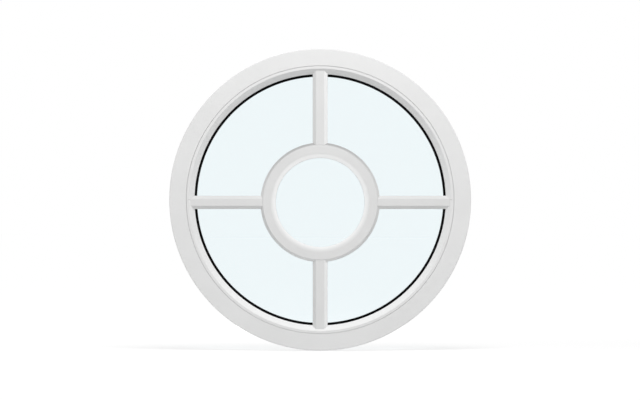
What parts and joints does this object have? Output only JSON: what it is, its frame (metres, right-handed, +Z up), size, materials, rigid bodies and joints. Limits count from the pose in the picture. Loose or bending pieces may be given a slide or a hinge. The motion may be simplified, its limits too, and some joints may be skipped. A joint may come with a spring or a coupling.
{
  "type": "round window",
  "caption": "Fixed round window: white hollow-profile frame, bevelled glazing bead, black gasket, sealed glass unit, and a centre ring with radial glazing bars on both faces.",
  "frame": {"origin": "centre of the frame at half its depth, on the axis of the round", "axes": "+Z up, +X to the right seen from the room, +Y towards the outside; the room face looks along -Y"},
  "size_m": [0.75, 0.07, 0.75],
  "materials": {
    "white_profile": "satin white extruded plastic",
    "black_gasket": "matt black extruded rubber",
    "clear_glass": "clear float glass, faint blue-green",
    "spacer_metal": "mill-finish tube with fine perforations",
    "white_metal": "white coated tube",
    "key_plastic": "moulded grey",
    "desiccant_fill": "fine round beads",
    "unit_sealant": "matt grey-black sealant",
    "block_plastic": "moulded blue",
    "bar_tape": "white foam tape"
  },
  "bodies": {
    "root": {"outer_frame": "white_profile", "bead_upper": "white_profile", "bead_lower": "white_profile", "room_gasket": "black_gasket", "outside_gasket": "black_gasket", "room_pane": "clear_glass", "outside_pane": "clear_glass", "edge_spacer": "spacer_metal", "spacer_key": "key_plastic", "desiccant": "desiccant_fill", "room_butyl": "unit_sealant", "outside_butyl": "unit_sealant", "edge_seal": "unit_sealant", "setting_block_left": "block_plastic", "setting_block_right": "block_plastic", "location_block_left": "block_plastic", "location_block_right": "block_plastic", "cavity_ring": "white_metal", "cavity_bar_top": "white_metal", "cavity_bar_bottom": "white_metal", "cavity_bar_left": "white_metal", "cavity_bar_right": "white_metal", "room_ring": "white_profile", "room_bar_top": "white_profile", "room_bar_bottom": "white_profile", "room_bar_left": "white_profile", "room_bar_right": "white_profile", "room_tape_ring": "bar_tape", "room_tape_top": "bar_tape", "room_tape_bottom": "bar_tape", "room_tape_left": "bar_tape", "room_tape_right": "bar_tape", "outside_ring": "white_profile", "outside_bar_top": "white_profile", "outside_bar_bottom": "white_profile", "outside_bar_left": "white_profile", "outside_bar_right": "white_profile", "outside_tape_ring": "bar_tape", "outside_tape_top": "bar_tape", "outside_tape_bottom": "bar_tape", "outside_tape_left": "bar_tape", "outside_tape_right": "bar_tape"}
  },
  "joints": []
}
